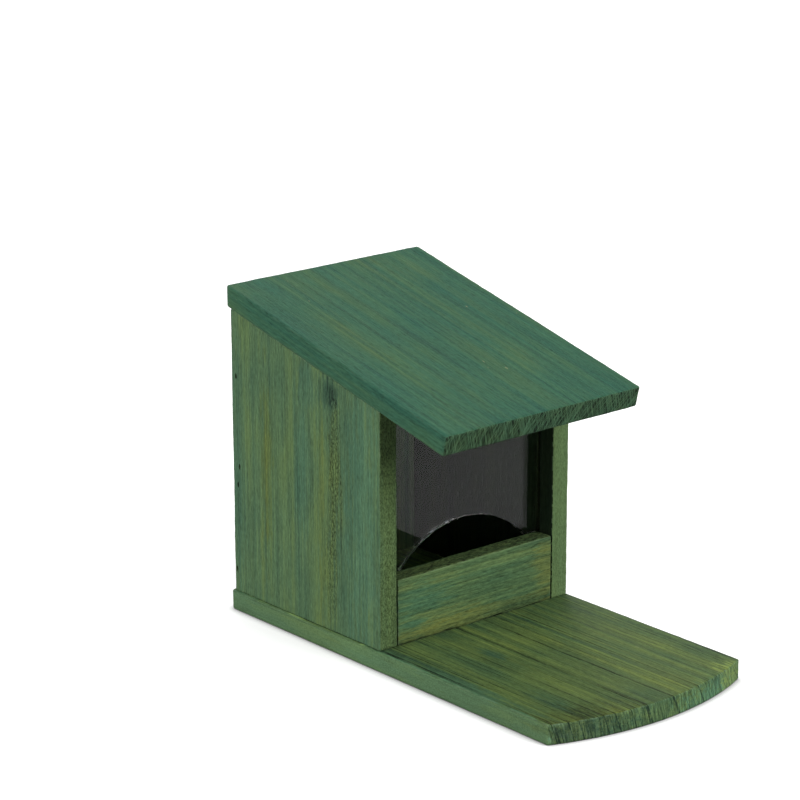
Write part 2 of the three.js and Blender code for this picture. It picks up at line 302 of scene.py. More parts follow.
def stretched_noise(tree, place, stretch, detail=3.0, roughness=0.55):
    """Cloudy noise, finer along each axis by its number in the stretch."""
    at = vectors(tree, "MULTIPLY", place, stretch)
    sockets = {"Vector": at, "Scale": 1.0, "Detail": detail, "Roughness": roughness}
    return wire(tree, "ShaderNodeTexNoise", sockets)


def laid_over(tree, share, under, over):
    """A share of one colour laid over another."""
    sockets = {0: share, 6: under, 7: over}
    return wire(tree, "ShaderNodeMix", sockets, data_type="RGBA")[2]


def nearness(tree, place, middle, reach, ragged, spread):
    """One at a place on the piece, falling to nothing at its reach with a ragged outline."""
    shift = [-part for part in middle]
    far = wire(tree, "ShaderNodeMapping", {"Vector": place, "Location": shift})["Vector"]
    far = vectors(tree, "DIVIDE", far, reach)
    far = vectors(tree, "MULTIPLY_ADD", ragged, (spread, spread, spread), far)
    return ramp_between(tree, vectors(tree, "LENGTH", far), 1.15, 0.3)


def stained_softwood(
    name, seed, turn, grain, pith, ring_gap, shades, waver=3.0, ring_dark=0.15, ring_from=0.6,
    contrast=1.0, saw_slants=(20,), saw_pitch=1.1, end_pale=0.5, end_dark=0.45, end_scratch=0.3,
    end_shade=None, end_share=0.6, sawn=None, sawn_shade=(88, 106, 60), sawn_dim=0.35, grit=1.0,
    tinting=1.0, rub=0.4, blots=(), torn=(),
):
    """Softwood under a thin brushed stain.

    The year rings lie round the log's heart, so faces show streaks and ends show arcs. A blot is
    its middle, its reach, its push from bluer to yellower, and how much it darkens. A torn place
    is its middle, its reach and how much its speckles darken.
    """
    finish, tree, shader = bare_finish(name)
    place = wire(tree, "ShaderNodeTexCoord", {})
    # Millimetres, with X along the grain
    wood = wire(tree, "ShaderNodeMapping", {
        "Vector": place["Object"],
        "Location": (seed * 173.0, 0, 0),
        "Rotation": [math.radians(angle) for angle in turn],
        "Scale": (1000, 1000, 1000),
    })["Vector"]

    # Year rings, wavering along the board and broken into dashes
    drift = stretched_noise(tree, wood, (0.006, 0.03, 0.03), detail=2.0)["Color"]
    drift = vectors(tree, "SUBTRACT", drift, (0.5, 0.5, 0.5))
    drift = vectors(tree, "MULTIPLY", drift, (0, 2 * waver, 2 * waver))
    offset = vectors(tree, "SUBTRACT", vectors(tree, "ADD", wood, drift), (0, *pith))
    radius = vectors(tree, "LENGTH", vectors(tree, "MULTIPLY", offset, (0, 1, 1)))
    years = sums(tree, "DIVIDE", radius, ring_gap)
    growth = {"W": years, "Scale": 0.6, "Detail": 1.0}
    uneven = wire(tree, "ShaderNodeTexNoise", growth, noise_dimensions="1D")[0]
    years = sums(tree, "MULTIPLY_ADD", uneven, 2.2, years)
    season = sums(tree, "FRACT", years)
    darkens = ramp_between(tree, season, ring_from, 0.88)
    late = sums(tree, "SUBTRACT", darkens, ramp_between(tree, season, 0.93, 1.0))
    strong = stretched_noise(tree, wood, (0.008, 0.05, 0.05), detail=2.0)[0]
    strong = ramp_between(tree, strong, 0.36, 0.6, 0.25, 1.0)
    dashes = stretched_noise(tree, wood, (0.05, 0.9, 0.9), detail=3.0)[0]
    dashes = ramp_between(tree, dashes, 0.35, 0.6, 0.45, 1.0)
    late_line = sums(tree, "MULTIPLY", late, sums(tree, "MULTIPLY", strong, dashes))

    # The stain's tone drifts in broad bands and cloudy patches, and hardly from one fibre to the next
    bands = stretched_noise(tree, wood, (0.003, 0.14, 0.14), detail=2.0)[0]
    streaks = stretched_noise(tree, wood, (0.008, 0.42, 0.42), detail=3.0)[0]
    lines = stretched_noise(tree, wood, (0.014, 0.85, 0.85), detail=4.0, roughness=0.62)[0]
    fibres = stretched_noise(tree, wood, (0.12, 2.2, 2.2), detail=3.0, roughness=0.65)[0]
    flecks = stretched_noise(tree, wood, (0.35, 1.4, 1.4), detail=3.0, roughness=0.65)[0]
    patches = stretched_noise(tree, wood, (0.022, 0.05, 0.05), detail=5.0)[0]
    tone_layers = [
        (bands, 0.85 * tinting),
        (patches, 0.95 * tinting),
        (streaks, 0.55),
        (lines, 0.15),
    ]
    tone = 0.5
    for layer, push in tone_layers:
        tone = sums(tree, "MULTIPLY_ADD", sums(tree, "SUBTRACT", layer, 0.5), push, tone)

    # Places where the stain pooled bluer or was rubbed yellower, and where it lies thick or thin
    ragged = stretched_noise(tree, wood, (0.06, 0.5, 0.5), detail=5.0, roughness=0.7)["Color"]
    ragged = vectors(tree, "SUBTRACT", ragged, (0.5, 0.5, 0.5))
    torn_blots = [(middle, reach, 0.3, -0.2) for middle, reach, depth in torn]
    thick = 0.0
    for middle, reach, push, depth in [*blots, *torn_blots]:
        inside = nearness(tree, place["Object"], middle, reach, ragged, 3.0)
        tone = sums(tree, "MULTIPLY_ADD", inside, push, tone)
        thick = sums(tree, "MULTIPLY_ADD", inside, depth, thick)
    colour = wire(tree, "ShaderNodeValToRGB", {"Fac": tone})["Color"]
    card = colour.node.color_ramp
    while len(card.elements) < len(shades):
        card.elements.new(0.5)
    for index, (element, tint) in enumerate(zip(card.elements, shades)):
        element.position = index / (len(shades) - 1)
        element.color = shade(*tint)

    # Light and dark along the fibres, dark late wood, and short dark pores
    pores = ramp_between(tree, stretched_noise(tree, wood, (0.16, 2.0, 2.0), detail=2.0)[0], 0.6, 0.7)
    light_layers = [
        (bands, 0.4), (patches, 0.6), (streaks, 0.8), (lines, 0.95), (fibres, 1.1), (flecks, 1.1),
    ]
    light = 1.0
    for layer, push in light_layers:
        light = sums(tree, "MULTIPLY_ADD", sums(tree, "SUBTRACT", layer, 0.5), push * contrast, light)
    light = sums(tree, "MULTIPLY_ADD", late_line, -ring_dark, light)
    light = sums(tree, "MULTIPLY_ADD", pores, -0.25, light)
    light = sums(tree, "MAXIMUM", sums(tree, "SUBTRACT", light, thick), 0.05)

    # Torn grain, which drinks the stain in dark speckles
    speckle = ramp_between(tree, stretched_noise(tree, wood, (0.55, 1.3, 1.3))[0], 0.44, 0.55)
    for middle, reach, depth in torn:
        inside = nearness(tree, place["Object"], middle, reach, ragged, 1.6)
        speckled = sums(tree, "MULTIPLY", speckle, inside)
        light = sums(tree, "MULTIPLY_ADD", speckled, -depth, light)
    colour = vectors(tree, "SCALE", colour, scale=light)

    # Specks that the stain missed, and arrises that are rubbed pale
    bare = ramp_between(tree, stretched_noise(tree, wood, (0.1, 0.4, 0.4), detail=2.0)[0], 0.76, 0.8)
    colour = laid_over(tree, bare, colour, shade(128, 132, 98))
    worn = wire(tree, "ShaderNodeAttribute", {}, attribute_name="rubbed")["Fac"]
    rubbed = ramp_between(tree, stretched_noise(tree, wood, (0.12, 0.4, 0.4), detail=4.0)[0], 0.42, 0.62)
    rubbed = sums(tree, "MULTIPLY", sums(tree, "MULTIPLY", worn, rubbed), rub)
    colour = laid_over(tree, rubbed, colour, shade(122, 146, 116))
    height = sums(tree, "MULTIPLY", fibres, 0.14)
    for layer, push in [(lines, 0.10), (flecks, 0.08), (late_line, 0.07), (pores, -0.08)]:
        height = sums(tree, "MULTIPLY_ADD", layer, push, height)

    # Sawn ends: darker, with pale late wood and the saw's slanting scratches
    facing = vectors(tree, "DOT_PRODUCT", place["Normal"], grain)
    end = ramp_between(tree, sums(tree, "ABSOLUTE", facing), 0.5, 0.85)
    scratches = 0.0
    for slant in saw_slants:
        slanted = wire(tree, "ShaderNodeVectorRotate", {
            "Vector": wood, "Axis": (1, 0, 0), "Angle": math.radians(slant),
        }, rotation_type="AXIS_ANGLE")["Vector"]
        marks = stretched_noise(tree, slanted, (0.3, saw_pitch, 0.06), detail=2.0, roughness=0.5)[0]
        scratches = sums(tree, "MAXIMUM", scratches, ramp_between(tree, marks, 0.47, 0.60))
    cloudy = stretched_noise(tree, wood, (0.4, 0.4, 0.4), detail=4.0, roughness=0.65)[0]
    soaked = sums(tree, "MULTIPLY_ADD", cloudy, 0.9, end_dark - 0.45)
    soaked = sums(tree, "MULTIPLY_ADD", late, end_pale, soaked)
    soaked = sums(tree, "MULTIPLY_ADD", scratches, end_scratch, soaked)
    end_colour = colour
    if end_shade:
        end_colour = laid_over(tree, end_share, colour, shade(*end_shade))
    soaked = vectors(tree, "SCALE", end_colour, scale=soaked)
    colour = laid_over(tree, end, colour, soaked)
    scored = sums(tree, "MULTIPLY", end, sums(tree, "MULTIPLY_ADD", scratches, 0.15, cloudy))
    height = sums(tree, "MULTIPLY_ADD", scored, 0.5, height)

    roughness = sums(tree, "MULTIPLY_ADD", lines, 0.35, 0.45)
    roughness = sums(tree, "MULTIPLY_ADD", end, 0.15, roughness)
    if sawn:
        # Edges left from the saw: furry, mottled and more olive
        facing = vectors(tree, "DOT_PRODUCT", place["Normal"], sawn)
        furred = ramp_between(tree, sums(tree, "ABSOLUTE", facing), 0.6, 0.9)
        grain_size = (0.9 * grit, 1.9 * grit, 1.9 * grit)
        mottle = stretched_noise(tree, wood, grain_size, detail=4.0, roughness=0.75)[0]
        dim = ramp_between(tree, mottle, 0.34, 0.62, sawn_dim, 1.25)
        rough = laid_over(tree, 0.55, colour, shade(*sawn_shade))
        rough = vectors(tree, "SCALE", rough, scale=dim)
        colour = laid_over(tree, furred, colour, rough)
        height = sums(tree, "MULTIPLY_ADD", sums(tree, "MULTIPLY", furred, mottle), 0.5, height)
        roughness = sums(tree, "MULTIPLY_ADD", furred, 0.15, roughness)

    # Painted shade on the inner faces, in and by the kerf and darker deep in the box
    inner_painted_shade = wire(tree, "ShaderNodeAttribute", {}, attribute_name="inner_painted_shade")["Fac"]
    colour = vectors(tree, "SCALE", colour, scale=sums(tree, "MULTIPLY_ADD", inner_painted_shade, -0.85, 1.0))

    bumps = {"Height": height, "Distance": 0.001, "Strength": 0.8}
    relief = wire(tree, "ShaderNodeBump", bumps)["Normal"]
    tree.links.new(colour, shader.inputs["Base Color"])
    tree.links.new(roughness, shader.inputs["Roughness"])
    tree.links.new(relief, shader.inputs["Normal"])
    shader.inputs["Specular IOR Level"].default_value = 0.06
    return finish


base.data.materials.append(stained_softwood(
    "olive stained base",
    seed=1,
    turn=(0, 0, -90),
    grain=(0, 1, 0),
    pith=(-130.0, 60.0),
    ring_gap=3.2,
    waver=1.5,
    ring_dark=0.95,
    ring_from=0.8,
    contrast=1.25,
    tinting=1.5,
    shades=[(64, 92, 66), (70, 94, 60), (77, 97, 56), (83, 100, 54), (90, 104, 51)],
    saw_slants=(8,),
    end_pale=-0.4,
    end_dark=0.9,
    end_scratch=0.6,
    end_shade=(66, 98, 80),
    end_share=0.35,
    sawn=(1, 0, 0),
    sawn_shade=(95, 122, 88),
    sawn_dim=0.85,
    rub=0.5,
    blots=[
        ((0.020, -0.045, 0.010), (0.010, 0.050, 0.006), -0.3, 0.03),
        ((-0.022, -0.030, 0.010), (0.005, 0.010, 0.004), -0.5, 0.12),
        ((-0.045, -0.060, 0.010), (0.012, 0.030, 0.004), 0.15, -0.05),
        ((-0.058, -0.050, 0.010), (0.005, 0.060, 0.004), -0.5, -0.05),
        ((-0.045, -0.118, 0.005), (0.032, 0.020, 0.012), 0.3, 0.5),
        ((0.030, -0.124, 0.003), (0.028, 0.012, 0.008), -0.7, -0.85),
        ((0.054, -0.117, 0.005), (0.013, 0.012, 0.014), 0.35, -0.9),
        ((-0.061, -0.111, 0.005), (0.0016, 0.0016, 0.02), 0.0, -0.5),
        ((-0.0615, 0.0, 0.005), (0.003, 0.4, 0.02), -0.4, -0.75),
        ((-0.0615, -0.085, 0.005), (0.003, 0.070, 0.02), -0.2, 0.35),
        ((-0.061, -0.078, 0.005), (0.003, 0.018, 0.010), 0.3, 0.0),
        ((-0.061, 0.021, 0.005), (0.003, 0.018, 0.012), 0.1, -0.4),
        ((-0.061, 0.055, 0.004), (0.003, 0.030, 0.010), 0.3, 0.0),
        ((-0.061, 0.115, 0.005), (0.004, 0.022, 0.02), -0.6, 0.2),
        ((-0.0605, 0.068, 0.010), (0.0012, 0.008, 0.0006), 0.2, -1.2),
        ((-0.0605, 0.018, 0.010), (0.0012, 0.002, 0.0006), 0.2, -1.2),
    ],
))
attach(base, "case")
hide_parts("base_board")


# Side boards: a left and a right one, planed, with the grain upright and the top sawn to the lid's
# slope. Each has a saw kerf inside its front edge for the pane, and stands on the base, nailed up
# through it.

SIDE_OUTER = 0.060
SIDE_THICKNESS = 0.0105
SIDE_FRONT = 0.00505
SIDE_REAR = 0.11705
SIDE_FRONT_TOP = 0.1275
LID_PITCH = math.radians(13.5)
KERF_FRONT = 0.01385
KERF_REAR = 0.01665
KERF_DEPTH = 0.0045
KERF_OVERRUN = 0.002
KERF_SPAN = (0.005, 0.2)
# Painted shade on the inner faces: full below the foot, fading to its least at the head; the margin
# keeps it off the outer face
INNER_SHADE_FOOT = 0.085
INNER_SHADE_HEAD = 0.130
INNER_SHADE_LEAST = 0.2
INNER_SHADE_MARGIN = 0.001


def slope_top(board, front, rear):
    """Brings the front of a board's square top down to the lid's slope."""
    edit_piece(board)
    pick_points(board, lambda at: at.z > SIDE_FRONT_TOP and at.y < (front + rear) / 2)
    bpy.ops.transform.translate(value=(0, 0, (front - rear) * math.tan(LID_PITCH)))
    bpy.ops.object.mode_set(mode="OBJECT")


def side_board(name, hand):
    """A sloped side board with its kerf, on the left for a hand of -1 and on the right for 1."""
    faces = sorted((hand * SIDE_OUTER, hand * (SIDE_OUTER - SIDE_THICKNESS)))
    rear_top = SIDE_FRONT_TOP + (SIDE_REAR - SIDE_FRONT) * math.tan(LID_PITCH)
    side = saw_square(name, (faces[0], SIDE_FRONT, BASE_THICKNESS), (faces[1], SIDE_REAR, rear_top))
    slope_top(side, SIDE_FRONT, SIDE_REAR)
    for axis in (1, 2, 0):
        divide(side, axis)
    ease_edges(side)
    slope = (0, -math.sin(LID_PITCH), math.cos(LID_PITCH))
    weather(side, planed=[(1, 0, 0), UPRIGHT, slope], sawn=[(0, 1, 0)])
    inner = hand * (SIDE_OUTER - SIDE_THICKNESS)
    kerf = sorted((inner - hand * KERF_OVERRUN, inner + hand * KERF_DEPTH))
    foot, head = KERF_SPAN
    cut_away(side, saw_square("kerf", (kerf[0], KERF_FRONT, foot), (kerf[1], KERF_REAR, head)))
    return side


def paint_inner_shade(side, hand):
    """Marks faces for painted shade: the kerf, the inner face in front of it, and the inner face behind
    it, more towards the bottom.
    """
    marks = []
    for face in side.data.polygons:
        at = face.center
        inward = hand * face.normal.x < -0.7
        in_kerf = KERF_FRONT < at.y < KERF_REAR + SAME_PLACE and abs(at.x) < SIDE_OUTER - INNER_SHADE_MARGIN
        if in_kerf or (inward and at.y < KERF_REAR):
            marks.append(1.0)
        elif inward:
            marks.append(min(1.0, max(INNER_SHADE_LEAST, (INNER_SHADE_HEAD - at.z) / (INNER_SHADE_HEAD - INNER_SHADE_FOOT))))
        else:
            marks.append(0.0)
    side.data.attributes.new("inner_painted_shade", "FLOAT", "FACE").data.foreach_set("value", marks)


side_blots = {
    "left": [
        ((-0.06, 0.112, 0.08), (0.006, 0.007, 0.09), -0.25, 0.0),
        ((-0.06, 0.090, 0.08), (0.006, 0.005, 0.06), 0.3, 0.10),
        ((-0.06, 0.063, 0.09), (0.006, 0.006, 0.05), -0.25, 0.0),
        ((-0.06, 0.058, 0.130), (0.006, 0.008, 0.014), -0.4, 0.15),
        ((-0.06, 0.042, 0.129), (0.006, 0.010, 0.009), -0.5, 0.45),
        ((-0.06, 0.048, 0.07), (0.006, 0.0035, 0.08), 0.3, 0.0),
        ((-0.06, 0.0335, 0.07), (0.006, 0.0005, 0.06), 0.0, 0.3),
        ((-0.06, 0.018, 0.07), (0.006, 0.014, 0.09), -0.4, -0.05),
    ],
    "right": [
        ((0.06, 0.08, 0.09), (0.006, 0.012, 0.06), 0.3, 0.0),
        ((0.06, 0.03, 0.06), (0.006, 0.010, 0.05), -0.35, 0.0),
    ],
}
side_torn = {
    "left": [
        ((-0.06, 0.038, 0.090), (0.006, 0.0060, 0.050), 0.65),
        ((-0.06, 0.041, 0.040), (0.006, 0.0055, 0.035), 0.5),
    ],
    "right": [((0.06, 0.07, 0.06), (0.006, 0.006, 0.04), 0.4)],
}
for side_name, hand in [("left", -1), ("right", 1)]:
    side = side_board(f"{side_name}_side_planed", hand)
    for index in range(1, 5):
        brad_slit(side, f"brad_{side_name}_side_{index}", 0, hand)
    finish_shape(side)
    # Painted shade on the inner faces, in and by the kerf and deep in the box
    paint_inner_shade(side, hand)
    side.data.materials.append(stained_softwood(
        f"green stained {side_name} side",
        seed=2 if hand < 0 else 3,
        turn=(0, 90, 0),
        grain=UPRIGHT,
        pith=(60.0, -hand * 90.0),
        ring_gap=3.1,
        shades=[(74, 108, 84), (79, 110, 82), (83, 110, 77), (87, 109, 68), (93, 108, 59)],
        sawn=(0, 1, 0),
        sawn_dim=0.35 if hand < 0 else 0.8,
        sawn_shade=(88, 106, 60) if hand < 0 else (96, 116, 70),
        contrast=1.1,
        blots=side_blots[side_name],
        torn=side_torn[side_name],
    ))
    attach(side, "case")
    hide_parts(f"{side_name}_side")


# Back board: a planed board with upright grain, held between the sides by brads and standing 2 mm
# out behind them. It carries the hinge at its top.

BACK_INNER = 0.10855
BACK_HALF_WIDTH = 0.0495
back_top = SIDE_FRONT_TOP + (BASE_REAR - SIDE_FRONT) * math.tan(LID_PITCH)
back = saw_square(
    "back_board_planed",
    (-BACK_HALF_WIDTH, BACK_INNER, BASE_THICKNESS),
    (BACK_HALF_WIDTH, BASE_REAR, back_top),
)
slope_top(back, BACK_INNER, BASE_REAR)
for axis in (0, 2, 1):
    divide(back, axis)
ease_edges(back)
weather(back, planed=[(1, 0, 0), UPRIGHT, (0, 1, 0)])
finish_shape(back)
back.data.materials.append(stained_softwood(
    "green stained back",
    seed=4,
    turn=(0, 90, 0),
    grain=UPRIGHT,
    pith=(160.0, -10.0),
    ring_gap=3.0,
    shades=[(64, 98, 78), (69, 98, 72), (75, 98, 69), (80, 98, 66), (86, 98, 60)],
))
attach(back, "case")
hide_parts("back_board")


# Front board: a short board with level grain between the sides, the sill that holds the feed back.
# Its top edge is left rough from the saw, and it is nailed up through the base.

FRONT_LEFT = -0.049
FRONT_RIGHT = 0.04925
FRONT_THICKNESS = 0.0105
FRONT_HEIGHT = 0.033
front = saw_square(
    "front_board_planed",
    (FRONT_LEFT, SIDE_FRONT, BASE_THICKNESS),
    (FRONT_RIGHT, SIDE_FRONT + FRONT_THICKNESS, BASE_THICKNESS + FRONT_HEIGHT),
)
for axis in (0, 1, 2):
    divide(front, axis)
ease_edges(front)
weather(front, planed=[(1, 0, 0), (0, 1, 0)], sawn=[UPRIGHT])
finish_shape(front)
front.data.materials.append(stained_softwood(
    "green stained front",
    seed=5,
    turn=(0, 0, 0),
    grain=(1, 0, 0),
    pith=(-70.0, 22.0),
    ring_gap=2.6,
    waver=2.5,
    ring_dark=0.2,
    contrast=1.5,
    shades=[(60, 95, 72), (67, 98, 70), (76, 101, 66), (84, 100, 59), (93, 102, 53)],
    sawn=UPRIGHT,
    sawn_shade=(54, 66, 38),
    sawn_dim=0.1,
    grit=0.45,
    tinting=0.8,
    blots=[
        ((-0.035, 0.005, 0.030), (0.024, 0.006, 0.010), -0.35, -0.04),
        ((0.010, 0.005, 0.036), (0.030, 0.006, 0.005), -0.1, -0.08),
        ((0.046, 0.005, 0.028), (0.012, 0.006, 0.018), 0.35, -0.12),
        ((0.0, 0.005, 0.013), (0.080, 0.006, 0.006), 0.35, 0.0),
        ((-0.040, 0.005, 0.019), (0.012, 0.006, 0.002), -0.45, 0.1),
        ((0.0, 0.005, 0.010), (0.120, 0.004, 0.0012), 0.0, 0.7),
    ],
))
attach(front, "case")
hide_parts("front_board")


# Pane: a 2 mm sheet of clear acrylic with an arched foot, which slides in the two kerfs.
# Its faces are polished, and its edges are left matt by the saw. The index is set low,
# which keeps its reflection as faint as the real sheet's.

PANE_FOOT_WIDTH = 0.0138
PANE_ARCH_HEIGHT = 0.0179
PANE_ARRIS = 0.00015
PANE_INDEX = 1.2
ARCH_SIDES = 256
ARCH_CUT_DEPTH = 0.02

pane_low, pane_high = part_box("window_pane")
pane = saw_square("clear_pane", pane_low, pane_high)
arch_half = (pane_high.x - pane_low.x) / 2 - PANE_FOOT_WIDTH
arch_radius = (arch_half**2 + PANE_ARCH_HEIGHT**2) / (2 * PANE_ARCH_HEIGHT)
bpy.ops.object.select_all(action="DESELECT")
bpy.ops.mesh.primitive_cylinder_add(
    vertices=ARCH_SIDES,
    radius=arch_radius,
    depth=ARCH_CUT_DEPTH,
    location=(0, pane_low.y, pane_low.z + PANE_ARCH_HEIGHT - arch_radius),
    rotation=(math.pi / 2, 0, 0),
)
arch = bpy.context.object
bpy.ops.object.transform_apply(location=True, rotation=True, scale=True)
cut_away(pane, arch)
ease_edges(pane, PANE_ARRIS, steps=2)
finish_shape(pane, 10)


def clear_sheet(name, tint, roughness):
    """Acrylic with faint rubbing marks, clear on its polished faces and cloudy where it was sawn."""
    finish, tree, shader = bare_finish(name)
    at = wire(tree, "ShaderNodeTexCoord", {})["Object"]
    marks = stretched_noise(tree, at, (300.0, 300.0, 120.0), detail=4.0)[0]
    dullness = ramp_between(tree, marks, 0.4, 0.75, roughness, roughness * 1.6)
    tree.links.new(dullness, shader.inputs["Roughness"])
    shader.inputs["Base Color"].default_value = shade(*tint)
    shader.inputs["Transmission Weight"].default_value = 1.0
    shader.inputs["IOR"].default_value = PANE_INDEX
    return finish


pane.data.materials.append(clear_sheet("clear acrylic faces", (250, 252, 251), 0.004))
pane.data.materials.append(clear_sheet("sawn acrylic edges", (238, 244, 240), 0.22))
for face in pane.data.polygons:
    face.material_index = 0 if abs(face.normal.y) > 0.95 else 1
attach(pane, "window")
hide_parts("window_pane")


# Butt hinge: two zinc plated leaves, each rolled round the pin, at the middle of the back.
# One leaf is screwed to the back board and one to the lid's rear end, two countersunk screws each.

LEAF_REACH = 0.0115
LEAF_THICKNESS = 0.001
LEAF_CORNER = 0.0015
KNUCKLE_ROOM = 0.0025
KNUCKLE_SPLIT = 0.0095
KNUCKLE_GAP = 0.00015
ROLL_ANGLE = 335
ROLL_STEPS = 30
SHEET_ARRIS = 0.00012
SINK_DEPTH = 0.0012
SINK_OVERRUN = 0.0004
SINK_FLARE = 2.4
PIN_RIM = 0.0003
PIN_DISH = 0.00012
PIN_ARRIS = 0.0002
SCREW_LENGTH = 0.00845
SCREW_POINT = 0.00195
SCREW_SHANK = 0.0011
SCREW_HEAD = 0.0022
SCREW_RIM = 0.0002
SCREW_HEAD_HEIGHT = 0.0011
SCREW_ARRIS = 0.00005
SCREW_TIP_SHARE = 0.08
RECESS_HALF_LENGTH = 0.0013
RECESS_HALF_WIDTH = 0.0003
RECESS_DEPTH = 0.0007
RECESS_OVERRUN = 0.0004
RECESS_TAPER_SHARES = (0.5, 1, 0.7)

pin_low, pin_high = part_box("hinge_pin")
pin_middle = (pin_low + pin_high) / 2
hinge_half = pin_high.x


def zinc_plate(name, tint, dullness):
    """Zinc plating, slightly clouded, with fine rolling marks and duller where it was handled."""
    finish, tree, shader = bare_finish(name)
    at = wire(tree, "ShaderNodeTexCoord", {})["Object"]
    cloud = stretched_noise(tree, at, (420.0, 420.0, 420.0), detail=4.0)[0]
    rolled = stretched_noise(tree, at, (60.0, 4000.0, 4000.0), detail=3.0)[0]
    handled = ramp_between(tree, cloud, 0.35, 0.68)
    colour = laid_over(tree, handled, shade(*tint), shade(*[0.8 * part for part in tint]))
    roughness = sums(tree, "MULTIPLY_ADD", cloud, 0.35, dullness - 0.15)
    height = sums(tree, "MULTIPLY_ADD", rolled, 0.02, sums(tree, "MULTIPLY", cloud, 0.04))
    bumps = {"Height": height, "Distance": 0.001, "Strength": 0.5}
    relief = wire(tree, "ShaderNodeBump", bumps)["Normal"]
    tree.links.new(colour, shader.inputs["Base Color"])
    tree.links.new(roughness, shader.inputs["Roughness"])
    tree.links.new(relief, shader.inputs["Normal"])
    shader.inputs["Metallic"].default_value = 1.0
    return finish


zinc = zinc_plate("zinc plated steel", (196, 199, 202), 0.3)


def turned_blank(name, radius, length, end):
    """A round bar along Y that ends at a place, for turning or for boring with."""
    bpy.ops.object.select_all(action="DESELECT")
    bpy.ops.mesh.primitive_cylinder_add(
        vertices=32, radius=radius, depth=length,
        location=Vector(end) - Vector((0, length / 2, 0)), rotation=(math.pi / 2, 0, 0),
    )
    blank = bpy.context.object
    blank.name = name
    blank.data.name = name
    bpy.ops.object.transform_apply(location=True, rotation=True, scale=True)
    return blank


def draw_out(piece, face_y, length, width_ratio):
    """Draws the flat end of a round bar out along Y, and widens or narrows it."""
    pick_points(piece, lambda at: abs(at.y - face_y) < SAME_PLACE)
    bpy.ops.mesh.select_mode(type="FACE")
    bpy.ops.mesh.extrude_region_move(TRANSFORM_OT_translate={"value": (0, -length, 0)})
    drawn = [point.co for point in bmesh.from_edit_mesh(piece.data).verts if point.select]
    middle = sum(drawn, Vector()) / len(drawn)
    bpy.ops.transform.resize(value=(width_ratio, 1, width_ratio), center_override=middle)
    return face_y - length


def screw_place(leaf_name, side_name):
    """The middle of a screw's head, level with the outer face of its leaf."""
    low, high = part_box(f"screw_{leaf_name}_leaf_{side_name}")
    return Vector(((low.x + high.x) / 2, BASE_REAR + LEAF_THICKNESS, (low.z + high.z) / 2))


def countersink(place):
    """A cutter that flares out to a screw head at a place."""
    sink_foot = place - Vector((0, SINK_DEPTH, 0))
    sink = turned_blank("countersink", SCREW_SHANK, LEAF_THICKNESS, sink_foot)
    edit_piece(sink)
    pick_points(sink, lambda at: at.y > sink_foot.y - SAME_PLACE)
    bpy.ops.mesh.select_mode(type="FACE")
    rise = SINK_DEPTH + SINK_OVERRUN
    bpy.ops.mesh.extrude_region_move(TRANSFORM_OT_translate={"value": (0, rise, 0)})
    bpy.ops.transform.resize(value=(SINK_FLARE, 1, SINK_FLARE), center_override=place)
    bpy.ops.object.mode_set(mode="OBJECT")
    return sink


def hinge_leaf(leaf_name, up, holds_middle):
    """A leaf that reaches up or down from the pin, with the middle knuckle or the two outer ones.

    Its holes are sunk while it is flat, because a boolean fails now and then on the rolled sheet,
    whose rolled ends run into its plate.
    """
    edge = pin_middle.z + up * LEAF_REACH
    root = pin_middle.z + up * KNUCKLE_ROOM
    heights = sorted((edge, root))
    leaf = saw_square(
        f"rolled_{leaf_name}_leaf",
        (-hinge_half, BASE_REAR, heights[0]),
        (hinge_half, BASE_REAR + LEAF_THICKNESS, heights[1]),
    )
    edit_piece(leaf)
    for place in (-KNUCKLE_SPLIT, KNUCKLE_SPLIT):
        for gap in (-KNUCKLE_GAP, KNUCKLE_GAP):
            bpy.ops.mesh.select_all(action="SELECT")
            bpy.ops.mesh.bisect(plane_co=(place + gap, 0, 0), plane_no=(1, 0, 0))
    bpy.ops.object.mode_set(mode="OBJECT")
    for side_name in ("left", "right"):
        cut_away(leaf, countersink(screw_place(leaf_name, side_name)))
    edit_piece(leaf)
    bpy.ops.mesh.select_mode(type="FACE")
    bpy.ops.mesh.select_all(action="DESELECT")
    live = bmesh.from_edit_mesh(leaf.data)
    for face in live.faces:
        middle = face.calc_center_median()
        within = abs(middle.x) < KNUCKLE_SPLIT - KNUCKLE_GAP
        beyond = abs(middle.x) > KNUCKLE_SPLIT + KNUCKLE_GAP
        at_root = abs(middle.z - root) < SAME_PLACE
        face.select = at_root and (within if holds_middle else beyond)
    bmesh.update_edit_mesh(leaf.data)
    bpy.ops.mesh.extrude_region_move(TRANSFORM_OT_translate={"value": (0, 0, -up * KNUCKLE_ROOM)})
    roll = math.radians(up * ROLL_ANGLE)
    bpy.ops.mesh.spin(steps=ROLL_STEPS, angle=roll, center=pin_middle, axis=(1, 0, 0))
    bpy.ops.mesh.select_all(action="SELECT")
    bpy.ops.mesh.remove_doubles(threshold=SAME_PLACE)
    bpy.ops.mesh.normals_make_consistent(inside=False)
    if bmesh.from_edit_mesh(leaf.data).calc_volume(signed=True) < 0:
        # A rolled sheet can be taken for its own inside
        bpy.ops.mesh.flip_normals()
    pick_edges(leaf, 1, lambda middle: (
        abs(middle.z - edge) < SAME_PLACE and abs(middle.x) > hinge_half - SAME_PLACE
    ))
    bpy.ops.mesh.bevel(offset=LEAF_CORNER, segments=5, affect="EDGES")
    bpy.ops.object.mode_set(mode="OBJECT")
    return leaf


for leaf_name, up, body in [("case", -1, "case"), ("lid", 1, "lid")]:
    leaf = hinge_leaf(leaf_name, up, holds_middle=leaf_name == "lid")
    ease_edges(leaf, SHEET_ARRIS, steps=2)
    finish_shape(leaf, 40)
    leaf.data.materials.append(zinc)
    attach(leaf, body)
    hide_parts(f"hinge_{leaf_name}_leaf")

